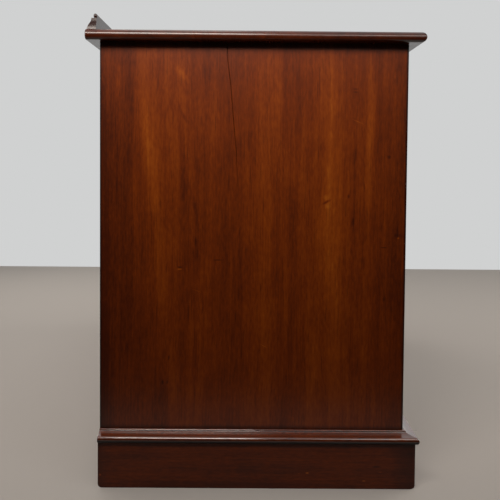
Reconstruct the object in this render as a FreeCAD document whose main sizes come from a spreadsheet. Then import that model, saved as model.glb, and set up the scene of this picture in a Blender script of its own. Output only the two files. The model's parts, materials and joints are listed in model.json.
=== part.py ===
import FreeCAD, Part
import math
import os
import Sketcher

# A one-piece mahogany kneehole desk: a moulded top with a low gallery, two pedestals on mitred plinths,
# and nine dovetailed drawers. X runs along the desk, -Y is the front, Z is up, and the origin is on the
# floor in the middle. All lengths are in millimetres.

SIZES = [
    ("top_length", 1219, "length of the top"),
    ("top_height", 762, "floor to the writing surface"),
    ("top_thickness", 17, "thickness of the top"),
    ("top_lower_round", 8, "radius of the lower half of the top's rounded edge"),
    ("end_overhang", 24, "top past the end panels"),
    ("front_overhang", 24, "top past the drawer fronts"),
    ("back_overhang", 20, "top past the back of the carcase"),
    ("gallery_height", 28, "height of the gallery above the top"),
    ("gallery_thickness", 15, "thickness of the gallery at its foot"),
    ("gallery_housing", 3, "gallery let into its groove in the top"),
    ("gallery_back_inset", 2, "gallery in from the top's back edge"),
    ("gallery_end_inset", 6, "gallery in from the top's ends"),
    ("carcase_depth", 514, "front to back of the end panels"),
    ("pedestal_width", 335, "outside width of a pedestal"),
    ("end_panel_thickness", 20, "thickness of the end panels"),
    ("kneehole_panel_thickness", 18, "thickness of the panels beside the kneehole"),
    ("rail_thickness", 16, "thickness of the drawer rails and runners"),
    ("rail_depth", 60, "front to back of the rails"),
    ("top_rail_thickness", 20, "thickness of the rails and kickers under the top"),
    ("tenon_length", 7, "rails and bottom boards let into the panels"),
    ("runner_width", 30, "width of the runners and kickers"),
    ("runner_housing", 4, "runners and kickers let into the panels"),
    ("backboard_thickness", 10, "thickness of the backboards"),
    ("backboard_rebate", 6, "backboards let into the panels"),
    ("backboard_gap", 0.6, "shadow gap between backboards"),
    ("backboard_floor_gap", 20, "backboards clear of the floor"),
    ("plinth_height", 76.5, "height of the plinth boards"),
    ("plinth_thickness", 17.6, "thickness of the plinth boards"),
    ("glue_block_width", 30, "side of the square glue blocks in the plinth"),
    ("glue_block_floor_gap", 10, "glue blocks clear of the floor"),
    ("moulding_height", 18.5, "height of the base moulding"),
    ("moulding_reach", 23.5, "base moulding out from the panels"),
    ("frieze_height", 112, "opening of the three frieze drawers"),
    ("drawer_graduation", 14, "each pedestal drawer deeper than the one above it"),
    ("drawer_rear_gap", 34, "closed drawer clear of the backboards"),
    ("drawer_gap", 0.8, "drawer front clear of its opening, all round"),
    ("runner_gap", 0.3, "drawer sides clear of their runners"),
    ("drawer_front_thickness", 22, "thickness of a drawer front"),
    ("drawer_side_thickness", 10, "thickness of a drawer side"),
    ("drawer_side_drop", 4, "drawer side below the top of the front"),
    ("drawer_back_thickness", 8, "thickness of a drawer back"),
    ("drawer_back_drop", 10, "drawer back below the top of the sides"),
    ("drawer_bottom_thickness", 6, "thickness of a drawer bottom"),
    ("drawer_bottom_rise", 12, "drawer bottom above the lower edge of the sides"),
    ("groove_depth", 4, "grooves that hold the drawer bottom"),
    ("groove_gap", 0.2, "drawer bottom clear of its grooves"),
    ("dovetail_wall", 2, "wood between the bead's rebate and the dovetail sockets"),
    ("dovetail_pin_width", 5, "narrow end of a dovetail pin"),
    ("bead_thickness", 3, "cock bead round a drawer front"),
    ("bead_depth", 5, "rebate that holds the cock bead"),
    ("knob_diameter", 42, "largest diameter of a knob"),
    ("knob_projection", 30, "knob out from the drawer front"),
    ("knob_spigot_diameter", 14, "spigot that holds a knob in its hole"),
    ("fit_gap", 0.15, "let-in pieces clear of their recesses"),
    ("lock_width", 64, "width of a lock's plate"),
    ("lock_height", 36, "height of a lock's plate"),
    ("lock_plate_thickness", 2, "thickness of a lock's plates"),
    ("lock_selvedge_depth", 12, "lock's edge plate, front to back"),
    ("lock_case_width", 46, "width of a lock's case"),
    ("lock_case_height", 30, "height of a lock's case below its edge plate"),
    ("lock_case_thickness", 8, "lock's case in front of its back plate"),
    ("lock_bolt_width", 18, "width of a lock's bolt"),
    ("lock_bolt_thickness", 4, "thickness of a lock's bolt"),
    ("lock_bolt_throw", 8, "depth of the slot for the bolt"),
    ("lock_pin_diameter", 2.4, "pin that the key turns on"),
    ("keyhole_drop", 19, "keyhole below the top of the front"),
    ("keyhole_diameter", 6, "round of the keyhole"),
    ("keyhole_slot_width", 3.4, "width of the keyhole's slot"),
    ("keyhole_slot_length", 9, "keyhole's slot below its round"),
    ("escutcheon_border", 2.2, "brass round the keyhole"),
    ("escutcheon_depth", 4, "depth that the escutcheon is let in"),
    ("stop_length", 36, "length of a drawer stop"),
    ("stop_depth", 16, "front to back of a drawer stop"),
    ("stop_height", 6, "height of a drawer stop"),
    ("stop_gap", 0.3, "stop clear of the closed drawer front"),
    ("stop_inset", 55, "stop in from the side of its opening"),
    ("screw_diameter", 5, "screws that hold the top"),
    ("screw_head_diameter", 9.5, "heads of those screws"),
    ("screw_head_height", 3, "countersink of those screws"),
    ("screw_bite", 10, "screws let into the top"),
    ("screw_inset", 60, "screws in from the panels"),
    ("overrun", 5, "cutting tools past the faces that they cut"),
]

# Slope of a dovetail, and shares of the thickness, reach, radius and height that the outlines follow
DOVETAIL_SLOPE_SHARE = 1 / 6
QUARTER_BULGE_SHARE = math.tan(math.pi / 8)
BEAD_BULGE_SHARE = 0.9
GALLERY_SHARES = [
    (1.00, 0.00, 0.06),
    (0.80, 0.32, -0.08),
    (0.60, 0.54, 0.00),
    (0.57, 0.69, 0.00),
    (0.25, 0.69, 0.25),
    (0.36, 0.88, 0.90),
]
GALLERY_CREST_SHARE = 0.18
MOULDING_SHARES = [
    (0.83, 0.63, -0.08),
    (0.20, 0.84, 0.00),
    (0.20, 0.90, QUARTER_BULGE_SHARE),
    (0.08, 1.00, 0.00),
]
MOULDING_NOSE_BULGE_SHARE = 0.82
KNOB_SHARES = [
    (0.74, 0.00, 0.15),
    (0.74, 0.10, 0.00),
    (0.62, 0.10, -0.60),
    (0.66, 0.42, 0.85),
    (0.72, 0.93, -0.10),
    (0.30, 0.90, 0.15),
    (0.09, 1.00, 0.00),
    (0.00, 1.00, 0.00),
]
CENTRE_KNOB_SHARE = 0.28

# Backboards in a pedestal, and dovetails at each corner of a shallow and of a deep drawer
BACKBOARD_COUNT = 3
SHALLOW_DOVETAIL_COUNT = 3
DEEP_DOVETAIL_COUNT = 4

doc = FreeCAD.newDocument("kneehole_desk")
sheet = doc.addObject("Spreadsheet::Sheet", "sizes")
for row, (alias, number, note) in enumerate(SIZES, start=1):
    sheet.set(f"A{row}", note)
    sheet.set(f"B{row}", str(number))
    sheet.setAlias(f"B{row}", alias)
doc.recompute()


class SheetNames:
    """Spells the sheet's cells for expressions: dim.top_length gives sizes.top_length."""

    def __getattr__(self, alias):
        return "sizes." + alias


dim = SheetNames()
subparts = {}


# Tools of the bench

def value(expression):
    """The number that an expression gives now, for the first guess of a sketch."""
    return float(sheet.evalExpression(expression))


def mid(low, high):
    """The expression halfway between two others."""
    return f"((({low}) + ({high})) / 2)"


def either_side(place, reach):
    """A span that reaches equally to both sides of a place."""
    return f"({place}) - ({reach})", f"({place}) + ({reach})"


def mirrored_span(sign, near, far):
    """A span given by its distances from the desk's middle, on the left for -1 and on the right for 1."""
    if sign < 0:
        return f"-({far})", f"-({near})"
    return near, far


def board(name, x, y, z):
    """A squared board that fills three spans, each a pair of expressions (low, high)."""
    piece = doc.addObject("Part::Box", name)
    for axis, side, (low, high) in zip("xyz", ("Length", "Width", "Height"), (x, y, z)):
        piece.setExpression("Placement.Base." + axis, low)
        piece.setExpression(side, f"({high}) - ({low})")
    return piece


def taper(name, y, x, z, far_x, far_z, turn=FreeCAD.Rotation()):
    """A block whose section is (x, z) at the low end of y and (far_x, far_z) at the high end."""
    piece = doc.addObject("Part::Wedge", name)
    for letters, (low, high) in {"Y": y, "X": x, "Z": z, "X2": far_x, "Z2": far_z}.items():
        piece.setExpression(letters + "min", low)
        piece.setExpression(letters + "max", high)
    piece.Placement = FreeCAD.Placement(FreeCAD.Vector(), turn)
    return piece


def rod(name, x, y, z, diameter):
    """A round rod along the one axis whose place is a span; the other two places are single expressions."""
    turns = {
        "x": FreeCAD.Rotation(FreeCAD.Vector(0, 1, 0), 90),
        "y": FreeCAD.Rotation(FreeCAD.Vector(1, 0, 0), -90),
        "z": FreeCAD.Rotation(),
    }
    piece = doc.addObject("Part::Cylinder", name)
    piece.setExpression("Radius", f"({diameter}) / 2")
    for axis, place in zip("xyz", (x, y, z)):
        if isinstance(place, tuple):
            piece.Placement = FreeCAD.Placement(FreeCAD.Vector(), turns[axis])
            piece.setExpression("Height", f"({place[1]}) - ({place[0]})")
    for axis, place in zip("xyz", (x, y, z)):
        piece.setExpression("Placement.Base." + axis, place[0] if isinstance(place, tuple) else place)
    return piece


def joined(name, pieces):
    """Pieces glued into one."""
    whole = doc.addObject("Part::MultiFuse", name)
    whole.Shapes = pieces
    whole.Refine = True
    return whole


def cut(name, base, tools):
    """A piece with one or more tools cut out of it."""
    piece = doc.addObject("Part::Cut", name)
    piece.Base = base
    piece.Tool = tools[0] if len(tools) == 1 else joined(name + "_tools", tools)
    piece.Refine = True
    return piece


def shared(name, first, second):
    """The wood that two shapes have in common."""
    piece = doc.addObject("Part::Common", name)
    piece.Base = first
    piece.Tool = second
    piece.Refine = True
    return piece


def group(name, pieces):
    """Separate solids that are kept under one name."""
    whole = doc.addObject("Part::Compound", name)
    whole.Links = pieces
    return whole


def subpart(name, piece):
    """Names a finished piece of the desk."""
    piece.Label = name
    subparts[name] = piece


def upright(angle):
    """Turns a sketch on edge: its first axis points along this angle in plan, and its second points up."""
    return FreeCAD.Rotation(FreeCAD.Vector(0, 0, 1), angle).multiply(
        FreeCAD.Rotation(FreeCAD.Vector(1, 0, 0), 90)
    )


def arc(start, end, bulge):
    """A circular arc between two points. Its bulge is the tangent of a quarter of its angle."""
    chord = end - start
    side = FreeCAD.Vector(-chord.y, chord.x, 0) * (1 / bulge - bulge) / 4
    centre = (start + end) / 2 + side
    first, last = (start, end) if bulge > 0 else (end, start)
    angles = [math.atan2(point.y - centre.y, point.x - centre.x) for point in (first, last)]
    circle = Part.Circle(centre, FreeCAD.Vector(0, 0, 1), (first - centre).Length)
    return Part.ArcOfCircle(circle, angles[0], angles[1])


def outline(name, points, turn, base=("0", "0", "0")):
    """A closed sketch through points (u, v, bulge). The bulge is that of the edge that leaves the point."""
    sketch = doc.addObject("Sketcher::SketchObject", name)
    sketch.Placement = FreeCAD.Placement(FreeCAD.Vector(), turn)
    for axis, place in zip("xyz", base):
        sketch.setExpression("Placement.Base." + axis, place)
    spots = [FreeCAD.Vector(value(u), value(v), 0) for u, v, bulge in points]
    ends = []
    for index, (u, v, bulge) in enumerate(points):
        start = spots[index]
        end = spots[(index + 1) % len(spots)]
        sketch.addGeometry(arc(start, end, bulge) if bulge else Part.LineSegment(start, end))
        ends.append((1, 2) if bulge >= 0 else (2, 1))
    for index, (u, v, bulge) in enumerate(points):
        after = (index + 1) % len(points)
        sketch.addConstraint(
            Sketcher.Constraint("Coincident", index, ends[index][1], after, ends[after][0])
        )
        for kind, place, spot in (("DistanceX", u, spots[index].x), ("DistanceY", v, spots[index].y)):
            held = sketch.addConstraint(
                Sketcher.Constraint(kind, -1, 1, index, ends[index][0], spot)
            )
            sketch.setExpression(f"Constraints[{held}]", place)
        if bulge:
            chord = f"sqrt(({points[after][0]} - ({u}))^2 + ({points[after][1]} - ({v}))^2)"
            radius = f"{chord} * {(1 + bulge ** 2) / (4 * abs(bulge))}"
            held = sketch.addConstraint(Sketcher.Constraint("Radius", index, value(radius)))
            sketch.setExpression(f"Constraints[{held}]", radius)
    return sketch


def both_halves(points):
    """Closes the right half of an outline, given from its foot to its crest, with its mirror image."""
    bulges = [0] + [bulge for u, v, bulge in points]
    left = [(f"-({u})", v, bulges[index]) for index, (u, v, bulge) in enumerate(points)]
    return points + left[::-1]


def extruded(name, sketch, direction, length):
    """A length of the section that a sketch draws."""
    piece = doc.addObject("Part::Extrusion", name)
    piece.Base = sketch
    piece.DirMode = "Custom"
    piece.Dir = direction
    piece.setExpression("LengthFwd", length)
    piece.Solid = True
    return piece


ALONG = FreeCAD.Vector(1, 0, 0)
INWARD = FreeCAD.Vector(0, 1, 0)
UP = FreeCAD.Vector(0, 0, 1)

# Main lines of the desk. Distances in X are from the middle, and the depth is shared so that the origin
# is in the middle of everything that stands on the floor plan, knobs included.
half_length = f"({dim.top_length} / 2)"
half_width = f"({half_length} - {dim.end_overhang})"
kneehole_half = f"({half_width} - {dim.pedestal_width})"
opening_near = f"({kneehole_half} + {dim.kneehole_panel_thickness})"
opening_far = f"({half_width} - {dim.end_panel_thickness})"
whole_depth = f"({dim.knob_projection} + {dim.carcase_depth} + {dim.back_overhang})"
front = f"({dim.knob_projection} - {whole_depth} / 2)"
back = f"({front} + {dim.carcase_depth})"
inside_back = f"({back} - {dim.backboard_thickness})"
rail_back = f"({front} + {dim.rail_depth})"
top_under = f"({dim.top_height} - {dim.top_thickness})"
top_rail_under = f"({top_under} - {dim.top_rail_thickness})"
pedestal_floor = f"({dim.plinth_height} + {dim.moulding_height})"
frieze_floor = f"({top_rail_under} - {dim.frieze_height})"
middle_height = f"(({frieze_floor} - {pedestal_floor}) / 3 - {dim.rail_thickness})"
upper_height = f"({middle_height} - {dim.drawer_graduation})"
floor_of = {"frieze": frieze_floor}
floor_of["upper"] = f"({frieze_floor} - {dim.rail_thickness} - {upper_height})"
floor_of["middle"] = f"({floor_of['upper']} - {dim.rail_thickness} - {middle_height})"
floor_of["lower"] = pedestal_floor
ceiling_of = {"frieze": top_rail_under}
for below, above in (("upper", "frieze"), ("middle", "upper"), ("lower", "middle")):
    ceiling_of[below] = f"({floor_of[above]} - {dim.rail_thickness})"

# Top: a board with its front and end edges rounded, which meet in a mitre at the front corners

top_front = f"({front} - {dim.front_overhang})"
top_back = f"({back} + {dim.back_overhang})"
upper_round = f"({dim.top_thickness} - {dim.top_lower_round})"
nose = f"({top_under} + {dim.top_lower_round})"


def make_top():
    """The top's blank: what its front section and its end section have in common."""
    front_section = outline(
        "top_front_section",
        [
            (f"{top_front} + {dim.top_lower_round}", top_under, 0),
            (top_back, top_under, 0),
            (top_back, dim.top_height, 0),
            (f"{top_front} + {upper_round}", dim.top_height, QUARTER_BULGE_SHARE),
            (top_front, nose, QUARTER_BULGE_SHARE),
        ],
        upright(90),
        (f"-{half_length}", "0", "0"),
    )
    end_section = outline(
        "top_end_section",
        both_halves(
            [
                (f"{half_length} - {dim.top_lower_round}", top_under, QUARTER_BULGE_SHARE),
                (half_length, nose, QUARTER_BULGE_SHARE),
                (f"{half_length} - {upper_round}", dim.top_height, 0),
            ]
        ),
        upright(0),
        ("0", top_front, "0"),
    )
    along = extruded("top_along", front_section, ALONG, dim.top_length)
    across = extruded("top_across", end_section, INWARD, f"{top_back} - {top_front}")
    return shared("top_blank", along, across)


def make_gallery():
    """The upstand at the back of the top: flat in front, an ogee and a bead behind, returned at the ends."""
    gallery_back = f"({top_back} - {dim.gallery_back_inset})"
    gallery_front = f"({gallery_back} - {dim.gallery_thickness})"
    gallery_end = f"({half_length} - {dim.gallery_end_inset})"
    foot = f"{dim.top_height} - {dim.gallery_housing}"

    def height(share):
        return f"{dim.top_height} + {share} * {dim.gallery_height}"

    back_points = [
        (f"{gallery_front} + {out} * {dim.gallery_thickness}", height(up), bulge)
        for out, up, bulge in GALLERY_SHARES
    ]
    crest_foot = (gallery_front, height(GALLERY_SHARES[-1][1]), 0)
    section = outline(
        "gallery_section",
        [(gallery_front, foot, 0), (gallery_back, foot, 0)] + back_points + [crest_foot],
        upright(90),
        (f"-{gallery_end}", "0", "0"),
    )
    end_points = [(gallery_end, foot, 0)]
    end_points += [
        (f"{gallery_end} - {1 - out} * {dim.gallery_thickness}", height(up), bulge)
        for out, up, bulge in GALLERY_SHARES[:-1]
    ]
    crest_out, crest_up, crest_bulge = GALLERY_SHARES[-1]
    end_points += [
        (
            f"{gallery_end} - {1 - crest_out} * {dim.gallery_thickness}",
            height(crest_up),
            QUARTER_BULGE_SHARE,
        ),
        (f"{gallery_end} - {1 - GALLERY_CREST_SHARE} * {dim.gallery_thickness}", height(1), 0),
    ]
    end_section = outline(
        "gallery_end_section", both_halves(end_points), upright(0), ("0", gallery_front, "0")
    )
    along = extruded("gallery_along", section, ALONG, f"2 * {gallery_end}")
    across = extruded("gallery_across", end_section, INWARD, dim.gallery_thickness)
    return shared("gallery_piece", along, across)


def make_screws():
    """Countersunk screws up through the rails into the top, beside every panel, those in front first."""
    screws = []
    shank = (top_rail_under, f"{top_under} + {dim.screw_bite}")
    lines = [f"{kneehole_half} - {dim.screw_inset}", f"{opening_near} + {dim.screw_inset}"]
    lines.append(f"{opening_far} - {dim.screw_inset}")
    depths = {"front": mid(front, rail_back), "back": f"{inside_back} - {dim.rail_depth} / 2"}
    for place, y in depths.items():
        for number, line in enumerate(lines + [f"-({line})" for line in lines], start=1):
            name = f"{place}_screw_{number}"
            body = rod(name + "_shank", line, y, shank, dim.screw_diameter)
            head = doc.addObject("Part::Cone", name + "_head")
            head.setExpression("Radius1", f"{dim.screw_head_diameter} / 2")
            head.setExpression("Radius2", f"{dim.screw_diameter} / 2")
            head.setExpression("Height", dim.screw_head_height)
            for axis, at in zip("xyz", (line, y, top_rail_under)):
                head.setExpression("Placement.Base." + axis, at)
            screws.append(joined(name, [head, body]))
    return screws


screws = make_screws()
subpart("top_fixing_screws", group("screw_set", screws))
gallery = make_gallery()
subpart("gallery", gallery)
subpart("desk_top", cut("top_grooved_and_drilled", make_top(), [gallery] + screws))

# Rails, runners and kickers, all let into the panels

front_inside = f"({front} + {dim.drawer_front_thickness})"
bolt_back = f"({front_inside} - {dim.lock_plate_thickness} - {dim.lock_bolt_thickness} / 2)"
bolt_front = f"({bolt_back} - {dim.lock_bolt_thickness})"


def bolt_slot(name, x, ceiling):
    """The slot in a rail's underside that a drawer's bolt shoots into."""
    return board(
        name,
        either_side(mid(*x), f"{dim.lock_bolt_width} / 2 + {dim.fit_gap}"),
        (f"{bolt_front} - {dim.fit_gap}", f"{bolt_back} + {dim.fit_gap}"),
        (f"{ceiling} - {dim.overrun}", f"{ceiling} + {dim.lock_bolt_throw}"),
    )


def tenoned(x):
    """A span between two panels, made longer by a tenon at each end."""
    return f"({x[0]}) - {dim.tenon_length}", f"({x[1]}) + {dim.tenon_length}"


def runner_pair(name, x, z):
    """Two strips along the sides of an opening, from the front rail to the backboards."""
    run = (rail_back, inside_back)
    low = (f"({x[0]}) - {dim.runner_housing}", f"({x[0]}) + {dim.runner_width}")
    high = (f"({x[1]}) - {dim.runner_width}", f"({x[1]}) + {dim.runner_housing}")
    return [board(name + "_low", low, run, z), board(name + "_high", high, run, z)]


def kicker_pair(name, x):
    """Two strips under the top, between the top rails, which keep an open drawer from tipping."""
    run = (rail_back, f"{inside_back} - {dim.rail_depth}")
    z = (top_rail_under, top_under)
    low = (f"({x[0]}) - {dim.runner_housing}", f"({x[0]}) + {dim.runner_width}")
    high = (f"({x[1]}) - {dim.runner_width}", f"({x[1]}) + {dim.runner_housing}")
    return [board(name + "_low", low, run, z), board(name + "_high", high, run, z)]


pedestal_opening = {
    "left": mirrored_span(-1, opening_near, opening_far),
    "right": mirrored_span(1, opening_near, opening_far),
}
kneehole_opening = (f"-{kneehole_half}", kneehole_half)
top_rail_run = tenoned((f"-{opening_far}", opening_far))
top_rail_z = (top_rail_under, top_under)
front_rail_blank = board("front_top_rail_blank", top_rail_run, (front, rail_back), top_rail_z)
back_rail_blank = board(
    "back_top_rail_blank", top_rail_run, (f"{inside_back} - {dim.rail_depth}", inside_back), top_rail_z
)
frieze_opening = {
    "left": pedestal_opening["left"],
    "centre": kneehole_opening,
    "right": pedestal_opening["right"],
}
frieze_slots = [
    bolt_slot(side + "_frieze_bolt_slot", x, top_rail_under) for side, x in frieze_opening.items()
]
half_of_screws = len(screws) // 2
front_rail = cut("front_top_rail", front_rail_blank, frieze_slots + screws[:half_of_screws])
back_rail = cut("back_top_rail", back_rail_blank, screws[half_of_screws:])
subpart("top_rails", group("top_rail_pair", [front_rail, back_rail]))

kneehole_rail_z = (f"{floor_of['frieze']} - {dim.rail_thickness}", floor_of["frieze"])
kneehole_rail = board(
    "kneehole_rail_board", tenoned(kneehole_opening), (front, rail_back), kneehole_rail_z
)
subpart("kneehole_rail", kneehole_rail)
centre_runners = runner_pair("centre_runner", kneehole_opening, kneehole_rail_z)
centre_runners += kicker_pair("centre_kicker", kneehole_opening)
subpart("centre_drawer_runners", group("centre_runner_set", centre_runners))

rail_blanks = {}
runners = {}
for side, x in pedestal_opening.items():
    rail_blanks[side] = []
    runners[side] = []
    rails = []
    for above, below in (("frieze", "upper"), ("upper", "middle"), ("middle", "lower")):
        name = f"{side}_rail_under_{above}"
        z = (ceiling_of[below], floor_of[above])
        blank = board(name + "_blank", tenoned(x), (front, rail_back), z)
        rail_blanks[side].append(blank)
        rails.append(cut(name, blank, [bolt_slot(name + "_bolt_slot", x, ceiling_of[below])]))
        runners[side] += runner_pair(f"{side}_runner_under_{above}", x, z)
    runners[side] += kicker_pair(side + "_kicker", x)
    subpart(side + "_drawer_rails", group(side + "_rail_set", rails))
    subpart(side + "_drawer_runners", group(side + "_runner_set", runners[side]))

# Bottom boards, hidden in front by the base moulding, and backboards, let into rebates in the panels

bottom_z = (dim.plinth_height, floor_of["lower"])
backboard_z = (dim.backboard_floor_gap, top_under)
bottom_boards = {}
backboards = {}
for side, x in pedestal_opening.items():
    bottom_boards[side] = board(side + "_bottom_blank", tenoned(x), (front, inside_back), bottom_z)
    subpart(side + "_bottom_board", bottom_boards[side])
    rebated = (f"({x[0]}) - {dim.backboard_rebate}", f"({x[1]}) + {dim.backboard_rebate}")
    pitch = f"(({rebated[1]}) - ({rebated[0]}) + {dim.backboard_gap}) / {BACKBOARD_COUNT}"
    backboards[side] = []
    for number in range(BACKBOARD_COUNT):
        edge = f"({rebated[0]}) + {number} * {pitch}"
        span = (edge, f"{edge} + {pitch} - {dim.backboard_gap}")
        backboards[side].append(
            board(f"{side}_backboard_{number + 1}", span, (inside_back, back), backboard_z)
        )
    subpart(side + "_backboards", group(side + "_backboard_set", backboards[side]))
kneehole_back = board(
    "kneehole_back_board",
    (f"-({kneehole_half} + {dim.backboard_rebate})", f"{kneehole_half} + {dim.backboard_rebate}"),
    (inside_back, back),
    backboard_z,
)
subpart("kneehole_back_panel", kneehole_back)

# Panels, from the floor to the top, mortised and housed for everything that they carry

for side, sign in (("left", -1), ("right", 1)):
    let_in = rail_blanks[side] + runners[side] + backboards[side] + [bottom_boards[side]]
    let_in += [front_rail_blank, back_rail_blank]
    panel_z = ("0", top_under)
    end_blank = board(
        side + "_end_blank", mirrored_span(sign, opening_far, half_width), (front, back), panel_z
    )
    subpart(side + "_end_panel", cut(side + "_end", end_blank, let_in))
    kneehole_blank = board(
        side + "_kneehole_blank", mirrored_span(sign, kneehole_half, opening_near), (front, back), panel_z
    )
    let_in += centre_runners + [kneehole_rail, kneehole_back]
    subpart(side + "_kneehole_panel", cut(side + "_kneehole", kneehole_blank, let_in))

# Plinth and base moulding, planted round the outside, front and kneehole side of each pedestal and mitred


def mitre_block(name, x, reach, z):
    """The front length of a border round a pedestal, whose mitred ends also cut its neighbours' mitres."""
    return taper(
        name,
        (f"{front} - {reach}", front),
        (f"({x[0]}) - {reach}", f"({x[1]}) + {reach}"),
        z,
        x,
        z,
    )


def make_plinth(side, x, ends):
    """Three plinth boards, and the glue blocks behind the front corners. The side boards stop at the ends."""
    z = ("0", dim.plinth_height)
    thick = dim.plinth_thickness
    front_board = mitre_block(side + "_plinth_front", x, thick, z)
    side_spans = ((f"({x[0]}) - {thick}", x[0]), (x[1], f"({x[1]}) + {thick}"))
    pieces = [front_board]
    for number, (span, end) in enumerate(zip(side_spans, ends), start=1):
        blank = board(f"{side}_plinth_side_{number}_blank", span, (f"{front} - {thick}", end), z)
        pieces.append(cut(f"{side}_plinth_side_{number}", blank, [front_board]))
    opening = pedestal_opening[side]
    block_y = (front, f"{front} + {dim.glue_block_width}")
    block_z = (dim.glue_block_floor_gap, dim.plinth_height)
    spans = (
        (opening[0], f"({opening[0]}) + {dim.glue_block_width}"),
        (f"({opening[1]}) - {dim.glue_block_width}", opening[1]),
    )
    for number, span in enumerate(spans, start=1):
        pieces.append(board(f"{side}_glue_block_{number}", span, block_y, block_z))
    return group(side + "_plinth_set", pieces)


def moulding_outline(name, angle, base):
    """Section of the base moulding: a round nose over the plinth, a hollow slope and a rounded fillet."""
    points = [("0", "0", 0), (dim.plinth_thickness, "0", MOULDING_NOSE_BULGE_SHARE)]
    points += [
        (f"{out} * {dim.moulding_reach}", f"{up} * {dim.moulding_height}", bulge)
        for out, up, bulge in MOULDING_SHARES
    ]
    points.append(("0", dim.moulding_height, 0))
    return outline(name, points, upright(angle), base)


def make_base_moulding(side, x, ends):
    """Three lengths of moulding on top of the plinth boards."""
    reach = dim.moulding_reach
    block = mitre_block(side + "_moulding_mitres", x, reach, bottom_z)
    corner = (f"({x[0]}) - {reach}", front, dim.plinth_height)
    section = moulding_outline(side + "_front_moulding_section", -90, corner)
    run = extruded(side + "_front_moulding_run", section, ALONG, f"({x[1]}) - ({x[0]}) + 2 * {reach}")
    pieces = [shared(side + "_front_moulding", run, block)]
    for number, (face, angle, end) in enumerate(zip(x, (180, 0), ends), start=1):
        name = f"{side}_side_moulding_{number}"
        corner = (face, f"{front} - {reach}", dim.plinth_height)
        section = moulding_outline(name + "_section", angle, corner)
        run = extruded(name + "_run", section, INWARD, f"{end} - ({front} - {reach})")
        pieces.append(cut(name, run, [block]))
    return group(side + "_moulding_set", pieces)


for side, sign, ends in (("left", -1, (back, inside_back)), ("right", 1, (inside_back, back))):
    x = mirrored_span(sign, kneehole_half, half_width)
    subpart(side + "_plinth", make_plinth(side, x, ends))
    subpart(side + "_base_moulding", make_base_moulding(side, x, ends))

# Drawers. Each is named by its opening, and its pieces are worked out from the opening's spans

knob_points = [("0", f"-{dim.drawer_front_thickness}", 0)]
knob_points.append((f"{dim.knob_spigot_diameter} / 2", f"-{dim.drawer_front_thickness}", 0))
knob_points.append((f"{dim.knob_spigot_diameter} / 2", "0", 0))
knob_points += [
    (f"{out} * {dim.knob_diameter} / 2", f"{up} * {dim.knob_projection}", bulge)
    for out, up, bulge in KNOB_SHARES
]
knob_section = outline("knob_section", knob_points, FreeCAD.Rotation(FreeCAD.Vector(1, 0, 0), 180))

drawer_rear = f"({inside_back} - {dim.drawer_rear_gap})"
back_inside = f"({drawer_rear} - {dim.drawer_back_thickness})"
socket_end = f"({front} + {dim.bead_depth} + {dim.dovetail_wall})"


def make_knob(name, x, z):
    """A turned bun knob with a collar, a drawn-in neck and a button in its dished face, on a round spigot."""
    knob = doc.addObject("Part::Revolution", name)
    knob.Source = knob_section
    knob.Axis = INWARD
    knob.Angle = 360
    knob.Solid = True
    for axis, place in zip("xyz", (x, front, z)):
        knob.setExpression("Placement.Base." + axis, place)
    return knob


def make_bead(name, x, z):
    """Four half-round strips, mitred round the edge of a drawer front. Returns the strips."""
    thick = dim.bead_thickness
    deep = f"{front} + {dim.bead_depth}"
    inner_x = (f"({x[0]}) + {thick}", f"({x[1]}) - {thick}")
    across = (f"-({deep})", f"{dim.bead_thickness} - ({front})")
    on_end = FreeCAD.Rotation(FreeCAD.Vector(1, 0, 0), 90)
    foot = (z[0], f"({z[0]}) + {thick}")
    head = (f"({z[1]}) - {thick}", z[1])
    mitres = [
        taper(name + "_foot_mitres", foot, x, across, inner_x, across, on_end),
        taper(name + "_head_mitres", head, inner_x, across, x, across, on_end),
    ]
    strips = []
    for place, span, mitre in zip(("foot", "head"), (foot, head), mitres):
        points = [
            (deep, span[0], 0),
            (deep, span[1], 0),
            (front, span[1], BEAD_BULGE_SHARE),
            (front, span[0], 0),
        ]
        section = outline(f"{name}_{place}_section", points, upright(90), (x[0], "0", "0"))
        run = extruded(f"{name}_{place}_run", section, ALONG, f"({x[1]}) - ({x[0]})")
        strips.append(shared(f"{name}_{place}", run, mitre))
    sides = {"left": (x[0], inner_x[0]), "right": (inner_x[1], x[1])}
    for place, span in sides.items():
        points = [
            (span[1], deep, 0),
            (span[0], deep, 0),
            (span[0], front, BEAD_BULGE_SHARE),
            (span[1], front, 0),
        ]
        section = outline(f"{name}_{place}_section", points, FreeCAD.Rotation(), ("0", "0", z[0]))
        run = extruded(f"{name}_{place}_run", section, UP, f"({z[1]}) - ({z[0]})")
        strips.append(cut(f"{name}_{place}", run, mitres))
    return strips


def keyhole(name, x, z, border, y):
    """A round with a slot below it, grown all round by a border."""
    drop = f"{dim.keyhole_slot_length} + ({border})"
    slot_x = either_side(x, f"{dim.keyhole_slot_width} / 2 + ({border})")
    slot = board(name + "_slot", slot_x, y, (f"({z}) - ({drop})", z))
    round_part = rod(name + "_round", x, y, z, f"{dim.keyhole_diameter} + 2 * ({border})")
    return joined(name, [round_part, slot])


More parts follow.
